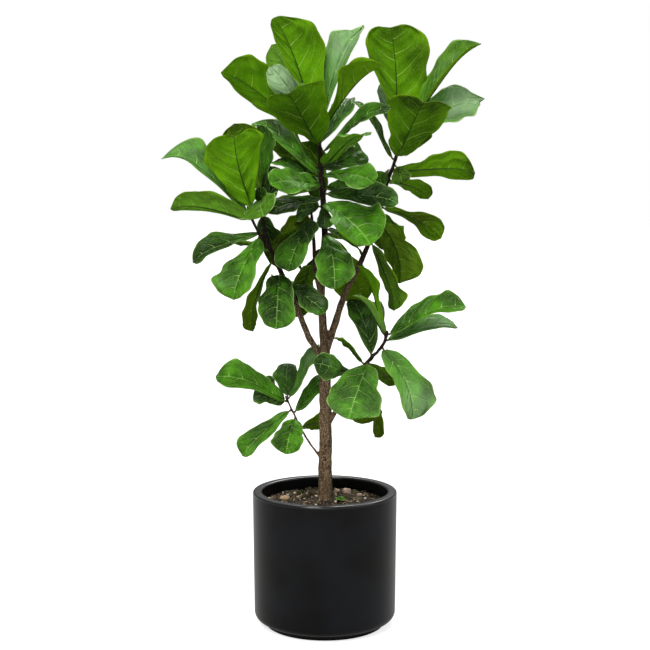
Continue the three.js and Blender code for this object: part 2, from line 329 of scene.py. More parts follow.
def leafMaterial(name, settings):
    material, tree, main = newMaterial(name)
    tone, paintedSheen, olive = (addNode(tree, "ShaderNodeAttribute", attribute_name=label).outputs["Fac"]
                          for label in ("tone", "paintedSheen", "olive"))
    veins = addNode(tree, "ShaderNodeGroup", node_tree=leafVeins)
    tree.links.new(addNode(tree, "ShaderNodeUVMap", uv_map="leafUv").outputs[0], veins.inputs["Place"])
    veins.inputs["Rib width"].default_value = settings["ribWidth"]
    veins.inputs["Vein width"].default_value = settings["veinWidth"]
    veins = veins.outputs

    # the blade's green, then its patches, then a painted pale sheen, a painted reflection that grows towards
    # the tip
    spots = plainNoise(tree, settings["mottleScale"], 3)
    cast = ramp(tree, plainNoise(tree, 9, 2), 0.34, 0.66, -settings["change"], settings["change"])
    blade = blendColour(tree, maths(tree, "ADD", tone, cast), settings["deep"], settings["fresh"])
    blade = blendColour(tree, olive, blade, settings["oliveColour"])
    blade = blendColour(tree, ramp(tree, spots, 0.35, 0.7, 0.0, settings["mottle"]), blade, settings["patch"])
    # pale patches of painted sheen, a painted reflection, scattered by noise
    paintedSheenPatches = ramp(tree, plainNoise(tree, 15, 2, shift=4.0), 0.50, 0.72, 0, settings["paintedSheenPatches"])
    outward = ramp(tree, veins["Along"], 0.18, 0.62, settings["bareFoot"], 1.15)
    paintedSheenAmount = maths(tree, "MULTIPLY", maths(tree, "ADD", paintedSheen, paintedSheenPatches), outward)
    paintedSheenAmount = maths(tree, "MULTIPLY", paintedSheenAmount, settings["paintedSheenShare"])
    blade = blendColour(tree, paintedSheenAmount, blade, settings["paintedSheenColour"])
    for mask, share, paint in (("Margin", "marginShare", "marginColour"), ("Mesh", "meshShare", "veinColour"),
                               ("Veins", "veinShare", "veinColour"), ("Rib", "ribShare", "ribColour"),
                               ("Edge", "edgeShare", "edgeColour")):
        shown = maths(tree, "MULTIPLY", veins[mask], settings[share])
        blade = blendColour(tree, shown, blade, settings[paint])

    # quilted between the veins, with the veins themselves as a second, finer relief
    rough = maths(tree, "MULTIPLY_ADD", spots, settings["roughChange"], settings["rough"])
    rough = maths(tree, "MULTIPLY_ADD", paintedSheen, 0.12, rough)
    coat(tree, main, blade, rough, settings["gloss"], veins["Swell"], strength=1.0, depth=settings["swell"])
    lines = maths(tree, "SUBTRACT", maths(tree, "MULTIPLY", veins["Veins"], settings["veinLift"]),
                  maths(tree, "MULTIPLY", veins["Mesh"], 0.3))
    quilting = main["Normal"].links[0].from_node
    bump(tree, lines, 0.35, 0.0008, quilting.inputs["Normal"])
    return material


# on both sides the sheen colour, its share and its patches are a painted reflection
leafTop = leafMaterial("leafTopGloss", dict(
    deep=colour(0.002, 0.027, 0.001), fresh=colour(0.062, 0.245, 0.004), change=0.65,
    oliveColour=colour(0.075, 0.125, 0.006), patch=colour(0.004, 0.038, 0.002), mottle=0.6, mottleScale=24,
    paintedSheenColour=colour(0.31, 0.49, 0.26), paintedSheenShare=0.8, paintedSheenPatches=0.18, bareFoot=0.3,
    marginColour=colour(0.15, 0.36, 0.05), marginShare=0.22,
    edgeColour=colour(0.40, 0.58, 0.20), edgeShare=0.6,
    ribColour=colour(0.36, 0.56, 0.18), ribShare=0.9, ribWidth=0.022,
    veinColour=colour(0.52, 0.70, 0.22), veinShare=0.85, veinWidth=0.021, meshShare=0.12, veinLift=-0.8,
    rough=0.26, roughChange=0.16, gloss=0.05, swell=0.005))
# the under side's bright fresh green is partly its own paler colour and partly painted light, a painted glow
# of light shining through the blade
leafUnder = leafMaterial("leafUnderMatt", dict(
    deep=colour(0.018, 0.052, 0.001), fresh=colour(0.105, 0.300, 0.001), change=0.45,
    oliveColour=colour(0.085, 0.120, 0.001), patch=colour(0.026, 0.080, 0.001), mottle=0.45, mottleScale=18,
    paintedSheenColour=colour(0.25, 0.38, 0.20), paintedSheenShare=0.6, paintedSheenPatches=0.0, bareFoot=1.0,
    marginColour=colour(0.12, 0.27, 0.001), marginShare=0.3,
    edgeColour=colour(0.22, 0.36, 0.01), edgeShare=0.45,
    # the under side's dark rib is painted shade, the shade beside the raised rib
    ribColour=colour(0.012, 0.034, 0.001), ribShare=0.75, ribWidth=0.024,
    veinColour=colour(0.42, 0.62, 0.12), veinShare=0.85, veinWidth=0.021, meshShare=0.12, veinLift=0.8,
    rough=0.6, roughChange=0.12, gloss=0.01, swell=-0.003))


def stalkMaterial():
    # brown-green where it leaves the bark, green along the stalk, then painted dark as the rib under the
    # blade: painted shade of the raised rib
    material, tree, main = newMaterial("leafStalkGreen")
    length = axesOf(tree, addNode(tree, "ShaderNodeUVMap", uv_map="leafUv").outputs[0])[1]
    spots = plainNoise(tree, 260, 2)
    green = blendColour(tree, spots, colour(0.045, 0.10, 0.008), colour(0.09, 0.16, 0.015))
    green = blendColour(tree, ramp(tree, length, 0.06, 0.0), green, colour(0.07, 0.055, 0.02))
    green = blendColour(tree, ramp(tree, length, 0.12, 0.22), green, colour(0.016, 0.044, 0.002))
    coat(tree, main, green, rough=0.55, gloss=0.15, height=spots, strength=0.3, depth=0.0005)
    return material


leafStalk = stalkMaterial()

# The flat leaf that every leaf is a copy of: a blade 2 wide and 2 long with its side veins along the rows,
# and its stalk, which runs on below the blade as the midrib
flatLeaf = dict(across=24, along=54, sheet=0.0009, stalkSides=7, stalkSteps=22, sweep=0.38, crowd=1.35)


def makeFlatLeaf():
    # returns the leaf and how many of its points are the blade's
    blade = added(bpy.ops.mesh.primitive_grid_add, "flatLeaf", size=2, x_subdivisions=flatLeaf["across"],
                  y_subdivisions=flatLeaf["along"])
    blade.data.uv_layers[0].name = "leafUv"
    dress(blade, leafTop, leafUnder, leafStalk)
    apply(blade, "SOLIDIFY", thickness=1.0, offset=0.0, material_offset=1, material_offset_rim=1)
    count = len(blade.data.vertices)

    stalk = added(bpy.ops.mesh.primitive_cylinder_add, "flatStalk", vertices=flatLeaf["stalkSides"],
                  radius=1, depth=2, end_fill_type="TRIFAN")
    stalk.data.uv_layers[0].name = "leafUv"
    mode("EDIT")
    bpy.ops.mesh.select_mode(type="EDGE")
    bpy.ops.mesh.select_all(action="DESELECT")
    work = bmesh.from_edit_mesh(stalk.data)
    for edge in work.edges:
        edge.select_set(abs(edge.verts[0].co.z - edge.verts[1].co.z) > 1)
    bmesh.update_edit_mesh(stalk.data)
    bpy.ops.mesh.subdivide(number_cuts=flatLeaf["stalkSteps"])
    mode("OBJECT")
    dress(stalk, leafTop, leafUnder, leafStalk)
    for face in stalk.data.polygons:
        face.material_index = 2
    uv = stalk.data.uv_layers["leafUv"].data
    for loop in stalk.data.loops:
        uv[loop.index].uv = (0.5, stalk.data.vertices[loop.vertex_index].co.z / 2 + 0.5)

    pick(blade)
    stalk.select_set(True)
    bpy.ops.object.join()
    bpy.ops.object.shade_smooth()
    return blade, count


leafModel, bladeCount = makeFlatLeaf()
flatPoints = points(leafModel.data)
print("flat leaf:", len(leafModel.data.vertices), "points")

# How a leaf's CAD solid is made: points in each ring, rings on the stalk, half its thickness, and the
# share of the widest ring that it has kept
cadLeaf = dict(around=8, stalkRings=3, halfSheet=0.0006, widest=0.97)


def ringsOf(node):
    # the rings of a leaf's CAD solid from its heel on, and its tip
    work = bmesh.new()
    work.from_mesh(node.data)
    bmesh.ops.remove_doubles(work, verts=work.verts, dist=1e-6)
    tip = next(v for v in work.verts if len(v.link_edges) == cadLeaf["around"])
    seen, level, rings = {tip}, [tip], []
    while level:
        found = []
        for vertex in level:
            for edge in vertex.link_edges:
                other = edge.other_vert(vertex)
                if other not in seen:
                    seen.add(other)
                    found.append(other)
        if found:
            rings.append(np.array([v.co[:] for v in found]))
        level = found
    end = np.array(tip.co[:])
    work.free()
    return rings[::-1], end


def readLeaf(node):
    # the middles, sides, upper sides and half widths of a leaf's CAD solid, from its heel to its tip
    rings, end = ringsOf(node)
    onStalk = cadLeaf["stalkRings"]
    centres = [ring.mean(0) for ring in rings[:onStalk]]
    ups, sides, halves, leans, stations = [], [], [], [], []
    for ring in rings[onStalk:]:
        gaps = np.linalg.norm(ring[:, None] - ring[None], axis=2)
        a, b = np.unravel_index(gaps.argmax(), gaps.shape)
        line = rows(ring[b] - ring[a])
        rest = [i for i in range(cadLeaf["around"]) if i not in (a, b)]
        off = {i: np.linalg.norm((ring[i] - ring[a]) - line * np.dot(ring[i] - ring[a], line)) for i in rest}
        keel = max(off, key=off.get)
        rib = min((i for i in rest if i != keel), key=lambda i: gaps[i, keel])
        up = rows(ring[rib] - ring[keel])
        centre = ring[rib] - cadLeaf["halfSheet"] * up
        stations.append((centre, up, gaps[a, b] / 2, abs(np.dot((ring[a] + ring[b]) / 2 - centre, up))))
    for i, (centre, up, half, rise) in enumerate(stations):
        after = stations[i + 1][0] if i + 1 < len(stations) else end
        before = stations[i - 1][0] if i else centres[onStalk - 1]
        centres.append(centre)
        ups.append(up)
        sides.append(rows(np.cross(rows(after - before), up)))
        halves.append(math.hypot(half, rise))
        leans.append(math.atan2(rise, half))
    centres.append(end)
    return dict(centres=np.array(centres), ups=np.array([ups[0]] * onStalk + ups + [ups[-1]]),
                sides=np.array([sides[0]] * onStalk + sides + [sides[-1]]),
                half=max(halves) / cadLeaf["widest"], lean=float(np.mean(leans)))


# The outline is the half width at each of the places, from the foot (0) to the tip (1)
leafShape = dict(
    places=(0, 0.07, 0.18, 0.32, 0.48, 0.64, 0.82, 1.0),
    outline=(0.12, 0.36, 0.52, 0.60, 0.78, 0.97, 1.03, 1.0),
    waistAt=0.36, waistReach=0.17, roundFrom=0.70, rollFrom=0.70, notchWidth=0.26, pointWidth=0.09,
    groove=0.035, grooveWidth=0.07, heel=0.0034, stalk=0.0023, ribEnd=0.0004, ribReach=0.93, bare=0.3,
    dentSize=(3.1, 4.3), puckerSize=(9.0, 15.0), pucker=0.02,
)


def rolled(centre, up, side, share, look, length):
    # rolls the end of a blade, towards its under side
    turn = look["curl"] * ease(share, look["curlFrom"], 1.25)
    span = np.maximum(share - look["curlFrom"], 0) * length
    forward = rows(np.cross(up, side))
    return centre - up * (span * np.sin(turn))[:, None] - forward * (span * (1 - np.cos(turn)))[:, None]


def bumps(across, share, size, seed):
    return np.array([noise.noise(Vector((p * size[0], w * size[1], seed))) for p, w in zip(across, share)])


def drapeLeaf(obj, line, look):
    # lays the flat leaf's points along a leaf's line, with this leaf's own outline, waves, cup and curl
    chance = np.random.default_rng(look["seed"])
    s, knots = leafShape, line["centres"]
    reach = travelled(knots)
    foot = s["bare"] * reach[cadLeaf["stalkRings"] - 1]  # the blade runs down most of the stalk
    length = reach[-1] - foot
    half, lean = line["half"], line["lean"]

    def along(share):
        at = foot + share * length
        return (smoothLine(reach, knots, at), rows(smoothLine(reach, line["sides"], at)),
                rows(smoothLine(reach, line["ups"], at)))

    u, q, z = flatPoints[:bladeCount].T
    right, a = u > 0, np.abs(u)

    def byHalf(leftValue, rightValue):
        return np.where(right, rightValue, leftValue)

    r = 1 - (1 - (q + 1) / 2) ** flatLeaf["crowd"]
    share = np.clip(r + flatLeaf["sweep"] * np.sin(np.pi * r ** 0.85) * (0.4 * a + 0.6 * a * a), 0, 1)
    phase = r * veinNet["pairs"] + byHalf(0, veinNet["stagger"])
    away = np.abs((phase + 0.5) % 1 - 0.5)  # 0 on a side vein, 0.5 halfway to the next

    # the outline: this leaf's halves, uneven from place to place, and bulging between the veins
    wide = 0 * share
    for mine, label in ((right, "right"), (~right, "left")):
        uneven = 1 + look["uneven"] * chance.normal(0, 1, len(s["places"]))
        given = np.broadcast_to(np.array(look[label]) / 100, len(s["places"]) - 1)
        widths = np.array(s["outline"]) * np.append(given[:1], given) * uneven
        wide[mine] = smoothLine(s["places"], widths, share[mine])
    start = s["roundFrom"]
    wide *= (1 - np.clip((share - start) / (1 - start), 0, 1) ** 2.5) ** 0.4
    wide *= 1 - look["waist"] * bell(share - s["waistAt"], s["waistReach"])
    swing = chance.uniform(0, 2 * np.pi, 8)
    wobble = byHalf(np.sin(12 * share + swing[1]), np.sin(11 * share + swing[0])) \
        + 0.6 * byHalf(np.sin(23 * share + swing[3]), np.sin(25 * share + swing[2]))
    wide *= 1 + (look["ragged"] * wobble + look["scallop"] * (2 * away - 0.5)) * ease(share, 0.05, 0.3)
    x = a * half * wide
    far = x / half

    # the tip: a notch or point at the midrib, and one half longer than the other
    share = share + byHalf(*look["lobes"]) * ease(far, 0.1, 0.6) * ease(share, 0.55, 1.0)
    share = share - look["notch"] * bell(far, s["notchWidth"]) * ease(share, 0.72, 1.0) \
        + look["point"] * bell(far, s["pointWidth"]) * ease(share, 0.86, 1.0)
    centre, side, up = along(share)
    centre = rolled(centre, up, side, share, look, length)
    folded = lean + look["fold"] * ease(share, 0.1, 0.5)

    # waves of the margin, the cup, and the quilting between sunken veins
    turns = look["waves"]
    wave = byHalf(np.sin(turns * share + swing[5]), np.sin(turns * share + swing[4])) \
        + 0.45 * np.sin(2.3 * turns * share + swing[6])
    lift = look["ripple"] * half * wave * far ** 2.2 * ease(share, 0.08, 0.4)
    lift += look["cup"] * half * far ** 2
    puff = look["quilt"] * half * ease(1 - a, 0, 0.3) * ease(a, 0.0, 0.16) \
        * ease(r, 0.02, 0.12) * ease(1 - r, 0, 0.12)
    lift += puff * (np.sqrt(np.clip(away / 0.5, 0, 1)) - 0.7)
    lift -= s["groove"] * half * bell(a, s["grooveWidth"]) * ease(1 - r, 0, 0.3)
    dent = bumps(u, share, s["dentSize"], look["seed"])
    pucker = bumps(u, share, s["puckerSize"], look["seed"] + 50)
    lift += half * (look["dents"] * dent + s["pucker"] * pucker) * ease(far, 0.1, 0.6)

    # margins that roll over, more in some places than in others
    roll = byHalf(*look["roll"]) * (0.75 + 0.5 * np.sin(7 * share + swing[7]))
    edge = s["rollFrom"]
    beyond = np.maximum(a - edge, 0) * half * wide
    bend = roll * ease(a, edge, 1.05)
    x = x - beyond * (1 - np.cos(bend))
    lift += beyond * np.sin(bend) + z * flatLeaf["sheet"]
    spread = byHalf(-1, 1) * x * np.cos(folded) + look["sway"] * half * np.sin(np.pi * share)
    rise = x * np.sin(folded) + lift
    blade = centre + side * spread[:, None] + up * rise[:, None]

    # the stalk and the rib below the blade
    cx, cy, cz = flatPoints[bladeCount:].T
    t = (cz + 1) / 2
    where = (t * (foot + s["ribReach"] * length) - foot) / length  # below 0 on the stalk
    inBlade = np.clip(where, 0, 1)
    middle, side, up = along(where)
    middle = rolled(middle, up, side, inBlade, look, length)
    radius = np.interp(where, [-foot / length, -0.35 * foot / length, 0.05, s["ribReach"]],
                       [s["heel"], s["stalk"], s["stalk"], s["ribEnd"]])
    drop = 0.5 * radius * ease(inBlade, 0, 0.06) \
        + s["groove"] * half * ease(inBlade, 0, 0.1) * ease(1 - inBlade, 0, 0.3)
    swung = look["sway"] * half * np.sin(np.pi * inBlade)
    stalk = middle + side * (cx * radius + swung)[:, None] + up * (cy * radius - drop)[:, None]
    movePoints(obj.data, np.concatenate([blade, stalk]))


def makeLeaf(name, line, look, *replaced):
    obj = leafModel.copy()
    obj.data = leafModel.data.copy()
    obj.name = obj.data.name = name
    intoScene(obj)
    look = {**plainLook, **look}
    drapeLeaf(obj, line, look)
    count = len(obj.data.vertices)
    for label in ("tone", "paintedSheen", "olive"):
        layer = obj.data.attributes.new(label, "FLOAT", "POINT")
        layer.data.foreach_set("value", np.full(count, look[label], np.float32))
    place(obj, "leaf", *replaced)


# What most leaves share, then what sets one leaf apart. tone goes from deep (0) to fresh (1), olive is for
# the yellow ones and the sheen for a painted pale sheen, a painted reflection. left and right are the width
# of
# each half in hundredths: one number, or one for each place of the outline but the first, which is like the
# second. sway is how far the midrib swings to a side, curl in radians from curlFrom on, notch, point and
# lobes at the tip as shares of the length, fold in radians, and roll in radians for the left and right margin
plainLook = dict(tone=0.45, paintedSheen=0.0, olive=0.0, left=100, right=100, uneven=0.045, curl=0.25, curlFrom=0.6,
                 sway=0.0, notch=0.0, point=0.015, lobes=(0.0, 0.0), waist=0.04, ragged=0.045, scallop=0.06,
                 ripple=0.09, waves=11, cup=0.0, quilt=0.095, dents=0.17, fold=0.0, roll=(0.0, 0.0))
leafLooks = {
    1: dict(tone=0.75, sway=-0.13, point=0, lobes=(-0.04, -0.03), ragged=0.04,
            left=(125, 125, 130, 130, 125, 120, 105), right=(55, 40, 40, 40, 40, 45, 50)),
    2: dict(tone=0.7, notch=0.12, lobes=(0.03, 0),
            left=(75, 105, 125, 120, 110, 110, 125), right=(55, 55, 85, 100, 90, 80, 85)),
    3: dict(tone=0.2, paintedSheen=0.9, ragged=0.05,
            left=(90, 85, 80, 85, 85, 80, 75), right=(90, 80, 70, 70, 65, 70, 80)),
    4: dict(tone=1.3, left=(50, 50, 55, 75, 95, 130, 150), right=(105, 105, 105, 100, 80, 55, 40)),
    5: dict(tone=1.3, paintedSheen=0.15, olive=0.15),
    6: dict(tone=1.2, paintedSheen=0.55, sway=-0.14, point=0.2, lobes=(0.04, 0),
            left=(80, 75, 80, 95, 110, 115, 100), right=(60, 50, 50, 50, 50, 50, 45)),
    7: dict(tone=1.3, olive=0.25, sway=0.3, fold=0.3,
            left=(55, 45, 45, 50, 60, 60, 40), right=(65, 60, 65, 80, 105, 135, 140)),
    8: dict(tone=0.9, paintedSheen=0.1, sway=0.3,
            left=(60, 60, 70, 75, 70, 60, 50), right=(60, 70, 90, 90, 75, 60, 50)),
    9: dict(tone=0, sway=-0.4, left=(60, 60, 80, 105, 100, 75, 50), right=(60, 50, 65, 85, 85, 80, 90)),
    10: dict(tone=1.2, paintedSheen=0.1,
             left=(130, 120, 110, 105, 100, 100, 100), right=(130, 120, 110, 105, 100, 100, 100)),
    11: dict(tone=0.55, sway=0.3, left=(60, 65, 85, 90, 75, 55, 50), right=(90, 80, 80, 90, 100, 100, 90)),
    12: dict(tone=1.25, sway=-0.17,
             left=(55, 55, 65, 80, 95, 120, 150), right=(150, 145, 125, 105, 100, 90, 80)),
    13: dict(tone=1.25, left=(60, 60, 65, 70, 75, 75, 80), right=(60, 60, 60, 65, 70, 85, 110)),
    14: dict(tone=1.25, paintedSheen=-0.1, cup=0.1, roll=(0.7, 0.7),
             left=(80, 95, 115, 115, 110, 105, 115), right=(80, 70, 75, 85, 95, 105, 120)),
    15: dict(tone=0, left=80, right=80),
    16: dict(tone=0.6, paintedSheen=-0.1, sway=-0.15, point=0, lobes=(-0.02, -0.02),
             left=(95, 100, 105, 105, 100, 110, 120), right=(70, 75, 95, 100, 95, 95, 100)),
    17: dict(tone=0.9, olive=0.5),
    18: dict(tone=0.65, sway=-0.1, notch=0.05, lobes=(0, 0.01),
             left=(130, 145, 145, 135, 115, 110, 110), right=(60, 60, 65, 75, 85, 90, 95)),
    19: dict(tone=0.3, notch=0.13,
             left=(120, 120, 120, 125, 120, 100, 80), right=(80, 95, 105, 100, 100, 105, 120)),
    20: dict(tone=1.3, olive=0.35, roll=(0, 0.9),
             left=(120, 130, 140, 140, 130, 120, 130), right=(80, 65, 50, 45, 40, 40, 40)),
    21: dict(tone=0.7, paintedSheen=0.62, sway=-0.25, point=0.12,
             left=(120, 135, 140, 135, 130, 125, 120), right=(130, 150, 160, 155, 150, 140, 125)),
    22: dict(tone=0.2, left=85, right=85),
    23: dict(tone=0.55, olive=0.1,
             left=(120, 115, 100, 90, 85, 90, 110), right=(75, 80, 95, 115, 120, 100, 75)),
    24: dict(tone=0.9, olive=0.2,
             left=(150, 135, 110, 100, 100, 100, 100), right=(150, 135, 110, 100, 95, 90, 90)),
    25: dict(tone=0.45, olive=0.25, sway=0.13,
             left=(55, 45, 50, 60, 75, 90, 110), right=(70, 60, 60, 65, 80, 85, 95)),
    26: dict(tone=1.1, paintedSheen=0.05, olive=0.6, sway=0.25,
             left=(80, 100, 110, 95, 70, 50, 45), right=(130, 105, 90, 95, 105, 120, 140)),
    27: dict(tone=0.8, paintedSheen=0.1, olive=0.25, sway=-0.19,
             left=(130, 145, 140, 130, 115, 125, 150), right=(120, 110, 110, 120, 120, 115, 105)),
    28: dict(tone=1.3, sway=0.15, notch=0.1, lobes=(0.03, 0),
             left=(60, 60, 80, 90, 90, 95, 110), right=(130, 135, 130, 120, 115, 110, 110)),
    29: dict(tone=1.3, paintedSheen=0.15, sway=0.3, curl=0.7,
             left=(55, 45, 45, 50, 40, 20, 20), right=(95, 85, 80, 90, 125, 150, 150)),
    30: dict(tone=0.85, paintedSheen=0.1, sway=-0.17,
             left=(135, 140, 140, 135, 100, 85, 100), right=(55, 40, 35, 35, 40, 40, 40)),
    31: dict(tone=0.25),
    32: dict(tone=1, olive=0.35),
    33: dict(tone=0.1, fold=0.2, left=(60, 75, 95, 100, 110, 125, 145), right=(75, 70, 90, 120, 115, 85, 65)),
    34: dict(tone=0.95, left=(135, 140, 130, 115, 100, 95, 85), right=(55, 55, 85, 110, 125, 130, 110)),
    35: dict(tone=0.7, olive=0.5, sway=-0.15,
             left=(80, 80, 85, 100, 115, 120, 120), right=(70, 80, 110, 115, 100, 90, 85)),
    36: dict(tone=0.45, paintedSheen=-0.1,
             left=(135, 135, 130, 115, 100, 95, 95), right=(130, 130, 120, 115, 100, 95, 90)),
    37: dict(tone=0.2, sway=0.12,
             left=(100, 115, 130, 120, 95, 85, 80), right=(60, 55, 70, 90, 100, 120, 130)),
    38: dict(tone=0, paintedSheen=-0.1, left=(130, 140, 130, 105, 80, 70, 70), right=(55, 50, 55, 70, 85, 100, 110)),
    39: dict(tone=0.85, paintedSheen=0.05, point=0, lobes=(-0.02, -0.02),
             left=(105, 110, 120, 120, 115, 105, 100), right=(90, 125, 135, 125, 110, 100, 90)),
    40: dict(tone=0.8, paintedSheen=0.3, sway=-0.3, point=0, lobes=(0.02, 0.03),
             left=(130, 115, 110, 110, 120, 125, 110), right=(115, 115, 110, 95, 75, 60, 50)),
    41: dict(tone=0.9, paintedSheen=-0.3, sway=-0.4,
             left=(130, 145, 145, 135, 120, 120, 140), right=(70, 65, 60, 50, 50, 70, 90)),
    42: dict(tone=1.3, paintedSheen=0.5, sway=-0.2,
             left=(90, 95, 100, 100, 95, 90, 90), right=(80, 75, 70, 60, 55, 50, 50)),
    43: dict(tone=1, paintedSheen=0.35, roll=(1.2, 0),
             left=(60, 60, 60, 50, 45, 40, 30), right=(50, 45, 40, 35, 30, 25, 20)),
    44: dict(tone=0.1, sway=0.2, roll=(0, 1),
             left=(60, 75, 95, 100, 85, 65, 50), right=(85, 100, 110, 100, 85, 65, 50)),
    45: dict(tone=1.3, sway=-0.1,
             left=(100, 105, 110, 115, 120, 115, 80), right=(40, 30, 30, 35, 50, 70, 50)),
    46: dict(tone=0.4),
    47: dict(tone=0, left=(60, 55, 60, 80, 95, 110, 125), right=(65, 65, 75, 85, 90, 90, 90)),
    48: dict(tone=1.3, paintedSheen=-0.3, sway=0.4,
             left=(55, 55, 65, 70, 75, 80, 70), right=(125, 120, 115, 115, 115, 125, 130)),
    49: dict(tone=0.7, paintedSheen=0.15, sway=-0.15,
             left=(95, 110, 120, 115, 85, 70, 60), right=(70, 95, 110, 100, 80, 65, 55)),
    50: dict(tone=1.3, paintedSheen=0.35, olive=0.05, sway=0.4,
             left=(65, 70, 90, 105, 100, 80, 60), right=(120, 140, 150, 145, 140, 140, 140)),
    51: dict(tone=0.55, left=(70, 75, 80, 75, 60, 55, 50), right=(120, 110, 105, 90, 70, 55, 50)),
    52: dict(tone=0.8, left=(75, 80, 90, 90, 75, 65, 75), right=(90, 90, 90, 95, 105, 120, 125)),
    53: dict(tone=0.7, paintedSheen=-0.3,
             left=(120, 125, 120, 110, 95, 85, 75), right=(100, 105, 110, 110, 100, 95, 90)),
}

leafHeels = []
for number, look in leafLooks.items():
    label = f"leaf_{number:02d}"
    line = readLeaf(nodes[label])
    leafHeels.append(line["centres"][0])
    makeLeaf(f"leafBlade_{number:02d}", line, {"seed": number, **look}, label)
print("leaves over the frame's solids:", len(leafLooks))

# Where each grows on a stem's axis and where its tip is, in mm, the way its upper side faces, its width and
# how far it arches, in mm, how far its halves fold, in degrees, and its tone, olive and painted sheen
furtherLeaves = [
    ((-10, 10, 1258), (112, 140, 1322), (-0.1, -1, 0.1), 84, 14, 8, 0),
    ((-10, 10, 1262), (-153, 210, 1362), (0.2, 0.9, 0.4), 105, 14, 8, 0.1),
    ((-1, 17, 1105), (110, 150, 1031), (0, -0.7, 0.7), 70, 12, 8, 0.2),
    ((-7, 11, 1222), (-150, 150, 1295), (0, -0.4, 0.9), 60, 12, 8, 0.2),
    ((205, 90, 1335), (158, 210, 1526), (-0.9, -0.4, 0), 60, 12, 10, 0.4, 0, 0.5),
    ((-170, -66, 1200), (-245, 20, 1380), (-0.2, 0.9, 0.3), 104, 12, 8, 0.3, 0.2),
    ((-33, -31, 1105), (-150, 50, 1010), (-0.3, 0.9, 0), 105, 12, 8, 0.1),
    ((-28, -25, 1020), (-85, 40, 860), (-0.2, 1, 0), 90, 12, 8, 0.25, 0.1),
    ((160, -80, 815), (140, 215, 900), (0.1, -0.9, 0.3), 40, 12, 8, 0.1),
    ((83, -40, 690), (123, -40, 573), (0.1, 1, 0.1), 85, 12, 8, 0.3, 0.5),
    ((117, -58, 745), (185, 100, 664), (0, -0.2, 0.95), 80, 12, 8, 0.5, 0.2),
    ((-99, 41, 610), (-196, 40, 655), (0, -0.7, 0.7), 98, 12, 8, 0.1),
    ((-68, 24, 550), (-2, 110, 548), (0.1, 0.9, 0.2), 54, 12, 8, 1, 0.6),
    ((100, -49, 718), (156, 90, 516), (0.85, 0.5, 0), 75, 12, 8, 0.3, 0.6),
    ((-5, 13, 1186), (-144, -130, 1157), (0, -0.6, 0.8), 74, 12, 8, 0),
    ((-8, 11, 1215), (-134, 150, 1172), (0.1, -0.5, 0.8), 100, 14, 8, 0.05),
    ((-4, 14, 1165), (-84, 80, 1140), (0, -0.8, 0.5), 90, 10, 8, 0.05),
    ((-9, 10, 1245), (-82, 110, 1258), (0.2, -0.7, 0.6), 78, 12, 8, 0.05),
    ((-6, 12, 1206), (84, 70, 1222), (-0.1, -0.8, 0.5), 62, 10, 8, 0.05),
    ((-10, 10, 1268), (70, 110, 1340), (-0.4, -0.8, 0.3), 60, 10, 8, 0.1),
    ((186, 80, 1262), (108, 50, 1188), (0.1, -0.8, 0.5), 84, 12, 8, 0),
    ((193, 83, 1285), (214, 60, 1226), (0, -0.8, 0.5), 60, 12, 8, 0.15, 0.4),
    ((180, 77, 1250), (150, 190, 1240), (0, -0.7, 0.7), 95, 12, 8, 0.05),
    ((-170, -66, 1195), (-150, -20, 1345), (-0.6, -0.8, 0), 62, 10, 8, 0.1),
    ((-165, -66, 1130), (-170, -110, 1215), (0, -1, 0.2), 34, 8, 12, 0.65, 0.1),
    ((-168, -66, 1150), (-140, 60, 1040), (0, -1, 0.1), 80, 10, 8, 0),
    ((-150, -60, 1062), (-60, 60, 1002), (0, -0.8, 0.5), 66, 10, 8, 0.1, 0.5),
    ((-6, 13, 1170), (-60, 200, 1330), (0.1, 1, 0.2), 110, 14, 8, 0.2),
    ((0, 18, 1085), (60, 200, 1075), (0, 0.6, 0.8), 90, 14, 8, 0.3),
    ((150, 60, 1150), (190, 205, 1040), (0, 0.7, 0.7), 100, 14, 8, 0.1),
    ((-145, -58, 1045), (-235, 130, 1062), (-0.2, 0.6, 0.7), 95, 14, 8, 0.3),
    ((196, 84, 1290), (280, 200, 1420), (0.3, 0.9, 0.2), 110, 14, 8, 0.4),
    ((-78, -30, 895), (-120, 130, 960), (0, 0.6, 0.8), 90, 12, 8, 0.2),
    ((-145, -58, 1045), (-50, 70, 1128), (0.2, 0.9, -0.2), 78, 10, 8, 0, 0.6),
    ((-2, 17, 1060), (-36, 110, 950), (0, -1, 0.1), 62, 10, 8, 0),
    ((-165, -64, 1120), (-136, 0, 1275), (0, -1, 0.1), 58, 10, 8, 0.05),
    ((-4, 5, 1176), (1, -26, 1104), (0, -1, 0.3), 48, 8, 8, 0.35),
]

# How a further leaf leaves the wood, in metres and shares: how deep its root may lie, the lead out of the
# bark, how square to the bark it starts, the length of its stalk, and the stations of its blade
growing = dict(rootDepth=0.014, lead=0.0144, square=0.6, along=0.1, archAt=0.6, stalk=0.024, firstSeed=100,
               stations=(0.05, 0.18, 0.38, 0.6, 0.8, 0.94, 1))


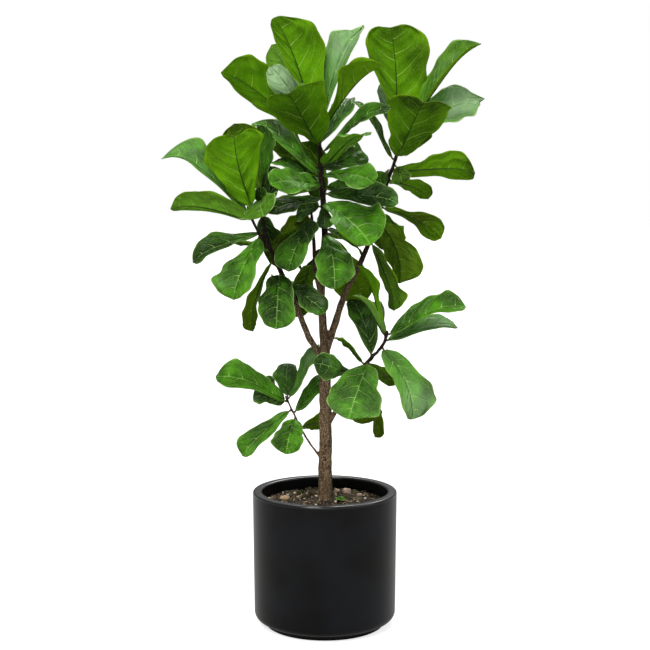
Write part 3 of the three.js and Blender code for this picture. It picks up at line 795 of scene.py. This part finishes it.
def growLine(wood, root, tip, face, width, arch, fold):
    # the line of a leaf from the wood's surface to its tip: out of the bark, then over in one curve
    g = growing
    root, tip, face = (np.array(p, float) for p in (root, tip, face))
    root, tip = root * mm, tip * mm
    aim = rows(tip - root)
    _, spot, normal, _ = wood.closest_point_on_mesh(Vector(root + g["rootDepth"] * aim))
    out = rows(np.array(normal[:]) * g["square"] + aim * (1 - g["square"]))
    start = np.array(spot[:])
    length = np.linalg.norm(tip - start)
    heading = rows(tip - start)
    upper = rows(face - heading * np.dot(face, heading))
    pull = [start, start + out * g["lead"] + heading * g["along"] * length,
            start + g["archAt"] * (tip - start) + upper * arch * mm, tip]
    t = np.linspace(0, 1, 201)[:, None]
    curve = (1 - t) ** 3 * pull[0] + 3 * t * (1 - t) ** 2 * pull[1] \
        + 3 * t * t * (1 - t) * pull[2] + t ** 3 * pull[3]
    reach = travelled(curve)
    stalk = g["stalk"] / reach[-1]
    shares = np.array([0, stalk / 2, stalk] + [stalk + (1 - stalk) * k for k in g["stations"]])

    def readAt(values):
        return np.stack([np.interp(shares * reach[-1], reach, values[:, i]) for i in range(3)], 1)

    tangents = rows(readAt(rows(np.gradient(curve, axis=0))))
    ups = rows(upper - tangents * (tangents @ upper)[:, None])
    return dict(centres=readAt(curve), ups=ups, sides=rows(np.cross(tangents, ups)), half=width / 2 * mm,
                lean=math.radians(fold))


for number, (root, tip, face, width, arch, fold, *shades) in enumerate(furtherLeaves, 1):
    line = growLine(nodes["trunk_and_branches"], root, tip, face, width, arch, fold)
    look = {"seed": growing["firstSeed"] + number, **dict(zip(("tone", "olive", "paintedSheen"), shades))}
    makeLeaf(f"leafFurther_{number:02d}", line, look)
print("further leaves:", len(furtherLeaves))

# A seedling's small leaves low on the soil: tip in mm and width
seedling = dict(root=(42, -12, 347), leaves=[((34, -28, 357), 17), ((54, -24, 354), 14), ((46, 2, 358), 13),
                                             ((27, -10, 353), 11)],
                steps=(0, 0.06, 0.12, 0.17, 0.3, 0.5, 0.7, 0.85, 0.95, 1.0), rise=0.003, face=(0, -0.5, 0.9),
                lean=0.15, firstSeed=200, tone=1.3, olive=0.15)


def makeSeedling():
    root, face = np.array(seedling["root"]) * mm, np.array(seedling["face"])
    steps = np.array(seedling["steps"])[:, None]
    for number, (tip, width) in enumerate(seedling["leaves"], 1):
        centres = root + (np.array(tip) * mm - root) * steps \
            + np.array((0, 0, seedling["rise"])) * np.sin(np.pi * steps)
        ahead = rows(np.gradient(centres, axis=0))
        ups = rows(face - ahead * (ahead @ face)[:, None])
        line = dict(centres=centres, ups=ups, sides=rows(np.cross(ahead, ups)), half=width / 2 * mm,
                    lean=seedling["lean"])
        makeLeaf(f"seedlingLeaf_{number}", line, dict(seed=seedling["firstSeed"] + number,
                                                      tone=seedling["tone"], olive=seedling["olive"]))


makeSeedling()
bpy.data.objects.remove(leafModel)
print("seedling:", len(seedling["leaves"]), "leaves")


# Relief is deepest on the old trunk and thins out up to the young branches, heights in metres
woodShape = dict(voxel=0.0021, smooth=0.6, rounds=8, furrow=0.00176, furrowScale=(120, 120, 22),
                 ripple=0.00135, rippleScale=(34, 34, 46), knot=0.0009, knotReach=0.007,
                 oldUpTo=0.72, youngFrom=0.95, thinned=0.65, branchFrom=0.03, branchRelief=0.4)


def barkMaterial():
    material, tree, main = newMaterial("barkBrown")
    streaks = noiseAt(tree, stretched(tree, (190, 190, 40)), 1, 6, 0.7)
    broad = noiseAt(tree, stretched(tree, (40, 40, 9)), 1, 3, 0.6)
    grain = noiseAt(tree, stretched(tree, (520, 520, 260)), 1, 4, 0.75)
    specks = ramp(tree, cellsAt(tree, stretched(tree, (300, 300, 170))), 0.36, 0.20)
    sideways, _, height = axesOf(tree, stretched(tree, (1, 1, 1)))
    # out on the branches and high up, the bark turns near black: partly the young wood's own darker colour,
    # partly painted shade of the crown
    branching = ramp(tree, maths(tree, "ABSOLUTE", sideways), 0.06, 0.12)
    youngAndShaded = maths(tree, "MAXIMUM", ramp(tree, height, 0.88, 1.1), branching)
    old = blendColour(tree, ramp(tree, streaks, 0.36, 0.64), colour(0.024, 0.014, 0.008),
                      colour(0.165, 0.104, 0.058))
    old = blendColour(tree, ramp(tree, broad, 0.38, 0.7, 0, 0.5), old, colour(0.115, 0.082, 0.045))
    old = blendColour(tree, ramp(tree, grain, 0.58, 0.70, 0, 0.8), old, colour(0.020, 0.012, 0.007))
    dark = blendColour(tree, ramp(tree, streaks, 0.38, 0.62), colour(0.004, 0.0025, 0.0015),
                       colour(0.019, 0.012, 0.007))
    skin = blendColour(tree, youngAndShaded, old, dark)
    pale = maths(tree, "MULTIPLY", specks, ramp(tree, youngAndShaded, 0, 1, 0.75, 0.10))
    skin = blendColour(tree, pale, skin, colour(0.42, 0.32, 0.21))
    relief = maths(tree, "ADD", streaks, maths(tree, "MULTIPLY", grain, 0.6))
    rough = maths(tree, "MULTIPLY_ADD", streaks, 0.2, 0.7)
    coat(tree, main, skin, rough, gloss=0.12, height=relief, strength=0.9, depth=0.0018)
    return material


def makeWood():
    s = woodShape
    wood = copyOf("trunk_and_branches", "barkedWood")
    apply(wood, "REMESH", mode="VOXEL", voxel_size=s["voxel"])
    apply(wood, "SMOOTH", factor=s["smooth"], iterations=s["rounds"])
    where, out = points(wood.data), points(wood.data, "normal")
    relief = 1 - s["thinned"] * ease(where[:, 2], s["oldUpTo"], s["youngFrom"])
    low = where[:, 2] < s["oldUpTo"]
    relief[(np.hypot(where[:, 0], where[:, 1]) > s["branchFrom"]) & low] = s["branchRelief"]
    lift = s["furrow"] * noiseOf(where, s["furrowScale"])
    lift += s["ripple"] * noiseOf(where, s["rippleScale"], 7.0)
    lift *= relief
    for heel in leafHeels:  # the swelling where a stalk leaves the bark
        lift += s["knot"] * bell(np.linalg.norm(where - heel, axis=1), s["knotReach"])
    movePoints(wood.data, where + out * lift[:, None])
    dress(wood, barkMaterial())
    smooth(wood)
    place(wood, "bark", "trunk_and_branches")
    print("wood:", len(wood.data.polygons), "faces")


makeWood()

# Radii and heights in metres, from the foot up the wall, over the lip and down the inside
potShape = dict(foot=0.166, footHeight=0.015, footRound=0.003, footRings=(0.06, 0.12), wall=0.1965,
                turn=0.022, wallRings=(0.05, 0.3, 0.6, 0.9, 0.97), wallFrom=0.032, wallLess=0.034,
                rimRound=0.0055, lip=0.026, lipDepth=0.051, thickness=0.011, floor=0.016, corner=0.004,
                floorRings=(0.1, 0.05), around=144, sharp=40)


def arc(across, up, radius, start, end, steps):
    angles = [math.radians(start + (end - start) * k / steps) for k in range(steps + 1)]
    return [(across + radius * math.cos(a), up + radius * math.sin(a)) for a in angles]


def potMaterial():
    material, tree, main = newMaterial("potCharcoal")
    clouds = plainNoise(tree, 7, 3)
    skin = blendColour(tree, ramp(tree, clouds, 0.35, 0.65), colour(0.0016, 0.0016, 0.0014),
                       colour(0.0042, 0.0046, 0.0062))
    rough = maths(tree, "MULTIPLY_ADD", clouds, 0.10, 0.27)
    coat(tree, main, skin, rough, gloss=0.14, height=plainNoise(tree, 900, 2), strength=0.10, depth=0.0003)
    height = axesOf(tree, stretched(tree, (1, 1, 1)))[2]  # the rim shines a little
    tree.links.new(ramp(tree, height, 0.366, 0.373, 0.0, 0.6), main["Coat Weight"])
    main["Coat Roughness"].default_value = 0.16
    return material


def potProfile():
    s = potShape
    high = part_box("pot")[1]
    rim, top = high.x, high.z
    k, f, wall, turn = s["rimRound"], s["footRound"], s["wall"], s["turn"]
    hollow, lipEdge = wall - s["thickness"], rim - s["lip"]
    profile = [(r, 0.0) for r in s["footRings"]] + arc(s["foot"] - f, f, f, -90, 0, 4)
    profile += [(s["foot"], s["footHeight"]), (wall - turn - 0.001, s["footHeight"])]
    profile += arc(wall - turn, s["footHeight"] + turn, turn, -90, 0, 10)
    for t in s["wallRings"]:
        profile.append((wall + (rim - wall) * t, s["wallFrom"] + (top - k - s["wallLess"]) * t))
    profile += arc(rim - k, top - k, k, 0, 90, 7)
    profile += arc(lipEdge + k, top - k, k, 90, 180, 7)
    profile += [(lipEdge, top - s["lipDepth"]), (hollow, top - s["lipDepth"] - s["lip"]),
                (hollow, s["floor"] + s["corner"]), (hollow - s["corner"], s["floor"])]
    return profile + [(r, s["floor"]) for r in s["floorRings"]]


def makePot():
    # ring after ring, up the outside and down the inside
    profile = potProfile()
    pot = added(bpy.ops.mesh.primitive_circle_add, "charcoalPot", profile[0][1], radius=profile[0][0],
                vertices=potShape["around"], fill_type="NGON")
    mode("EDIT")
    bpy.ops.mesh.select_mode(type="EDGE")
    bpy.ops.mesh.select_all(action="SELECT")
    for (r0, z0), (r1, z1) in zip(profile, profile[1:]):
        bpy.ops.mesh.extrude_edges_move(TRANSFORM_OT_translate={"value": (0, 0, z1 - z0)})
        bpy.ops.transform.resize(value=(r1 / r0, r1 / r0, 1))
    closeUp()
    bpy.ops.object.transform_apply(location=True, rotation=True, scale=True)
    dress(pot, potMaterial())
    bpy.ops.object.shade_smooth_by_angle(angle=math.radians(potShape["sharp"]))
    place(pot, "pot", "pot")
    print("pot:", len(pot.data.polygons), "faces", len(profile), "rings")


makePot()

# A low dome with lumps, and a mound round the foot of the trunk
soilShape = dict(radius=0.1737, top=0.341, dome=0.006, domeReach=0.174, cells=120, skirt=0.03, lumps=0.0046,
                 lumpLayers=((0.6, 38, 0.0), (0.4, 95, 3.0), (0.25, 210, 0.0)), mound=0.004, moundAt=0.02)


def soilTop(x, y):
    s = soilShape
    distance = np.hypot(x, y)
    height = s["top"] + s["dome"] * (1 + np.cos(np.pi * distance / s["domeReach"])) / 2
    flat = np.stack([x, y, 0 * x], 1)
    lumps = sum(share * noiseOf(flat, (scale, scale, 1), seed) for share, scale, seed in s["lumpLayers"])
    return height + s["lumps"] * lumps + s["mound"] * bell(distance - s["moundAt"], s["moundAt"])


def soilAt(x, y):
    return soilTop(np.array([x]), np.array([y]))[0]


def soilMaterial():
    material, tree, main = newMaterial("soilDark")
    fine, broad = plainNoise(tree, 420, 5, 0.7), plainNoise(tree, 60, 3)
    crumbs = cellsAt(tree, stretched(tree, (1, 1, 1)), 260)
    earth = blendColour(tree, ramp(tree, fine, 0.35, 0.65), colour(0.004, 0.003, 0.002),
                        colour(0.045, 0.028, 0.016))
    earth = blendColour(tree, ramp(tree, broad, 0.4, 0.7, 0, 0.7), earth, colour(0.008, 0.006, 0.004))
    earth = blendColour(tree, ramp(tree, crumbs, 0.24, 0.10, 0, 0.6), earth, colour(0.30, 0.22, 0.12))
    rough = maths(tree, "MULTIPLY_ADD", fine, 0.1, 0.85)
    coat(tree, main, earth, rough, gloss=0.2, height=fine, strength=0.9, depth=0.002)
    return material


def makeSoil():
    n, radius = soilShape["cells"], soilShape["radius"]
    bed = added(bpy.ops.mesh.primitive_grid_add, "soilBed", size=2, x_subdivisions=n, y_subdivisions=n)
    a, b, _ = points(bed.data).T
    x, y = a * np.sqrt(1 - b * b / 2) * radius, b * np.sqrt(1 - a * a / 2) * radius
    movePoints(bed.data, np.stack([x, y, soilTop(x, y)], 1))
    mode("EDIT")
    bpy.ops.mesh.select_all(action="SELECT")
    bpy.ops.mesh.region_to_loop()
    bpy.ops.mesh.extrude_edges_move(TRANSFORM_OT_translate={"value": (0, 0, -soilShape["skirt"])})
    closeUp()
    dress(bed, soilMaterial())
    smooth(bed)
    place(bed, "soil", "soil")


makeSoil()

# Each kind of loose bit: count, size range in mm, how much it stands out of the soil, proportions, how finely
# its ball is cut, and colours
chipKinds = dict(
    sliver=(560, (4, 13), 0.22, (1.0, 0.34, 0.16), 1,
            [(0.26, 0.17, 0.09), (0.42, 0.31, 0.18), (0.12, 0.07, 0.035), (0.70, 0.60, 0.43),
             (0.30, 0.22, 0.12)]),
    clod=(430, (4, 13), 0.15, (1.0, 0.8, 0.6), 1,
          [(0.022, 0.014, 0.008), (0.05, 0.032, 0.018), (0.010, 0.007, 0.005), (0.16, 0.11, 0.06),
           (0.045, 0.042, 0.016)]),
    pebble=(64, (5, 12), 0.20, (1.0, 0.78, 0.62), 2,
            [(0.34, 0.25, 0.17), (0.18, 0.13, 0.09), (0.50, 0.40, 0.28), (0.62, 0.58, 0.48)]),
)
chipBed = dict(seed=11, radius=0.168, uneven=0.28, tilt=0.35, roll=0.4, bevel=0.08, shade=(0.6, 1.3))


def chipMaterial():
    material, tree, main = newMaterial("barkChips")
    tint = addNode(tree, "ShaderNodeAttribute", attribute_name="tint").outputs["Color"]
    grain = plainNoise(tree, 520, 4, 0.7)
    skin = blendColour(tree, ramp(tree, grain, 0.42, 0.7, 0, 0.6), tint, colour(0.03, 0.018, 0.01))
    coat(tree, main, skin, rough=0.85, gloss=0.5, height=grain, strength=0.7, depth=0.001)
    return material


def turned(spin, tilt, roll):
    # a turn about X, then Y, then Z
    cz, sz, cy, sy, cx, sx = (f(a) for a in (spin, tilt, roll) for f in (math.cos, math.sin))
    return np.array([[cz, -sz, 0], [sz, cz, 0], [0, 0, 1]]) \
        @ np.array([[cy, 0, sy], [0, 1, 0], [-sy, 0, cy]]) @ np.array([[1, 0, 0], [0, cx, -sx], [0, sx, cx]])


def makeChips():
    s = chipBed
    chance, material = np.random.default_rng(s["seed"]), chipMaterial()
    for kind, (count, (small, large), proud, shape, cuts, tints) in chipKinds.items():
        model = added(bpy.ops.mesh.primitive_ico_sphere_add, kind, subdivisions=cuts, radius=0.5)
        if kind == "sliver":
            mode("EDIT")
            bpy.ops.mesh.bevel(offset=s["bevel"], segments=1)
            mode("OBJECT")
        shape = points(model.data) * shape
        faces = [list(f.vertices) for f in model.data.polygons]
        bpy.data.objects.remove(model)
        allPoints, allFaces, allTints = [], [], []
        for number in range(count):
            size = chance.uniform(small, large) * mm
            rough = shape * (1 + s["uneven"] * chance.uniform(-1, 1, (len(shape), 1)))
            turn = turned(chance.uniform(0, 2 * math.pi), chance.normal(0, s["tilt"]),
                          chance.normal(0, s["roll"]))
            away, angle = s["radius"] * math.sqrt(chance.uniform(0.02, 1)), chance.uniform(0, 2 * math.pi)
            x, y = away * math.cos(angle), away * math.sin(angle)
            allPoints.append(rough @ turn.T * size + (x, y, soilAt(x, y) + size * proud))
            allFaces += [[number * len(shape) + v for v in face] for face in faces]
            tint = np.array(tints[chance.integers(len(tints))]) * chance.uniform(*s["shade"])
            allTints += [(*tint, 1.0)] * len(shape)
        mesh = bpy.data.meshes.new(kind + "s")
        mesh.from_pydata(np.concatenate(allPoints).tolist(), [], allFaces)
        layer = mesh.color_attributes.new("tint", "FLOAT_COLOR", "POINT")
        layer.data.foreach_set("color", np.array(allTints, np.float32).ravel())
        obj = bpy.data.objects.new("soil" + kind.capitalize() + "s", mesh)
        intoScene(obj)
        dress(obj, material)
        if kind == "pebble":
            smooth(obj)
        place(obj, "stone" if kind == "pebble" else "soil")
        print("loose", kind + "s:", count)


makeChips()

# Larger clods, grown over with a little moss: where, in mm, and how wide; then how lumpy, as share, scale
# and seed, their proportions, and how far they stand out
soilClods = [(-68, 96, 30), (-46, 140, 24), (-30, 74, 27), (-54, 40, 24), (-88, 60, 18), (64, 34, 26),
             (38, 106, 22), (86, 96, 20), (50, 62, 18), (-20, 128, 18), (98, -6, 14), (-96, 104, 20)]
clodShape = dict(cuts=4, lumps=((0.45, 60, 7.0), (0.22, 170, 3.0), (0.12, 420, 5.0)),
                 proportions=(1, 0.9, 0.62), proud=0.10)


def mossMaterial():
    material, tree, main = newMaterial("mossyClod")
    patches, grain = plainNoise(tree, 90, 3), plainNoise(tree, 620, 4, 0.7)
    light = ramp(tree, grain, 0.35, 0.68)
    clod = blendColour(tree, light, colour(0.014, 0.010, 0.006), colour(0.105, 0.074, 0.040))
    moss = blendColour(tree, light, colour(0.014, 0.022, 0.004), colour(0.10, 0.115, 0.035))
    skin = blendColour(tree, ramp(tree, patches, 0.48, 0.62), clod, moss)
    coat(tree, main, skin, rough=0.9, gloss=0.15, height=grain, strength=0.9, depth=0.002)
    return material


def makeClods():
    s, material = clodShape, mossMaterial()
    for number, (x, y, wide) in enumerate(soilClods, 1):
        clod = added(bpy.ops.mesh.primitive_ico_sphere_add, f"soilClod_{number:02d}", subdivisions=s["cuts"],
                     radius=wide / 2 * mm)
        where = points(clod.data)
        lift = sum(share * noiseOf(where, (scale,) * 3, number * seed) for share, scale, seed in s["lumps"])
        where = (where + rows(where) * (lift * wide * mm)[:, None]) * s["proportions"]
        height = soilAt(x * mm, y * mm) + wide * s["proud"] * mm
        movePoints(clod.data, where + (x * mm, y * mm, height))
        dress(clod, material)
        smooth(clod)
        place(clod, "soil")


makeClods()

# The stones' solids, made rough and chipped flat here and there, as shares of their width
stoneShape = dict(rough=0.07, roughScale=90, chipped=0.10, chippedScale=45, levels=4, smooth=0.4, rounds=2)


def stoneMaterial(name, dark, light, patch):
    material, tree, main = newMaterial(name)
    grain, broad = plainNoise(tree, 330, 5, 0.7), plainNoise(tree, 70, 2)
    skin = blendColour(tree, ramp(tree, grain, 0.3, 0.7), dark, light)
    skin = blendColour(tree, ramp(tree, broad, 0.45, 0.7, 0, 0.6), skin, patch)
    coat(tree, main, skin, rough=0.8, gloss=0.5, height=grain, strength=0.6, depth=0.001)
    return material


brownStone = stoneMaterial("stoneBrown", colour(0.20, 0.13, 0.095), colour(0.52, 0.39, 0.30),
                           colour(0.09, 0.060, 0.045))
tanStone = stoneMaterial("stoneTan", colour(0.25, 0.15, 0.07), colour(0.60, 0.42, 0.24),
                         colour(0.20, 0.13, 0.07))


def makeStone(number, material):
    s = stoneShape
    stone = copyOf(f"stone_{number}", f"soilStone_{number}")
    apply(stone, "SUBSURF", levels=1, render_levels=1)
    where, out = points(stone.data), points(stone.data, "normal")
    size = float(np.ptp(where[:, 0]))
    rough = noiseOf(where, (s["roughScale"],) * 3, number * 5.0)
    flat = np.floor(noiseOf(where, (s["chippedScale"],) * 3, number * 9.0) * s["levels"]) / s["levels"]
    movePoints(stone.data, where + out * (size * (s["rough"] * rough + s["chipped"] * flat))[:, None])
    apply(stone, "SMOOTH", factor=s["smooth"], iterations=s["rounds"])
    dress(stone, material)
    smooth(stone)
    place(stone, "stone", f"stone_{number}")


for number, material in enumerate((brownStone, brownStone, tanStone, brownStone), 1):
    makeStone(number, material)
print("soil and stones done")

# The camera stands level with the crown and looks down a little, in metres and degrees
cameraPlace = dict(where=(0.00055, -3.8, 1.2457), down=6.13, lens=77.1, sensor=36)
camera = bpy.data.objects.new("studioCamera", bpy.data.cameras.new("studioCamera"))
intoScene(camera)
camera.location = cameraPlace["where"]
camera.rotation_euler = (math.radians(90 - cameraPlace["down"]), 0, 0)
camera.data.lens, camera.data.sensor_width = cameraPlace["lens"], cameraPlace["sensor"]
bpy.context.scene.camera = camera
bpy.context.scene.view_settings.view_transform = "Standard"

studioLights = [  # the way it shines, strength, how wide it looks in degrees, colour
    ((0.35, 0.85, -1.0), 2.35, 24, (1.0, 0.985, 0.95)),
    ((-0.9, 0.3, -0.7), 0.6, 40, (0.95, 0.98, 1.0)),
    ((-0.15, -0.9, -0.9), 1.7, 30, (1.0, 1.0, 0.97)),
    ((0.12, 1.0, -0.1), 0.6, 50, (1.0, 1.0, 1.0)),
]
for number, (aim, strength, width, tint) in enumerate(studioLights, 1):
    lamp = bpy.data.lights.new(f"softLight{number}", "SUN")
    lamp.energy, lamp.angle, lamp.color = strength, math.radians(width), tint
    holder = bpy.data.objects.new(lamp.name, lamp)
    intoScene(holder)
    holder.location = Vector(aim) * -4
    holder.rotation_euler = Vector(aim).to_track_quat("-Z", "Y").to_euler()

# White all round to look at; as a light the sky is dim at the horizon and brightest overhead
studioShape = dict(horizon=0.12, overhead=0.62, highest=0.9, floorRadius=30, floorGrey=0.45,
                   floorGlow=(0.15, 0.75))


def seenByCamera(tree):
    return tree.nodes.new("ShaderNodeLightPath").outputs["Is Camera Ray"]


def makeStudio():
    s = studioShape
    world = bpy.data.worlds.new("paleStudio")
    bpy.context.scene.world = world
    world.use_nodes = True
    tree = world.node_tree
    background = tree.nodes["Background"].inputs
    background["Color"].default_value = colour(1, 1, 1)
    direction = axesOf(tree, tree.nodes.new("ShaderNodeTexCoord").outputs["Generated"])
    glow = ramp(tree, direction[2], 0.0, s["highest"], s["horizon"], s["overhead"])
    tree.links.new(maths(tree, "MAXIMUM", seenByCamera(tree), glow), background["Strength"])
    floor = added(bpy.ops.mesh.primitive_circle_add, "studioFloor", vertices=96, radius=s["floorRadius"],
                  fill_type="NGON")
    material, tree, main = newMaterial("paleFloor")
    grey = s["floorGrey"]
    main["Base Color"].default_value = colour(grey, grey, grey)
    main["Roughness"].default_value = 0.9
    main["Specular IOR Level"].default_value = 0.0
    main["Emission Color"].default_value = colour(1, 1, 1)
    # pale to look at, dim as a light
    tree.links.new(ramp(tree, seenByCamera(tree), 0, 1, *s["floorGlow"]), main["Emission Strength"])
    dress(floor, material)


makeStudio()
print("camera, lights and studio done")
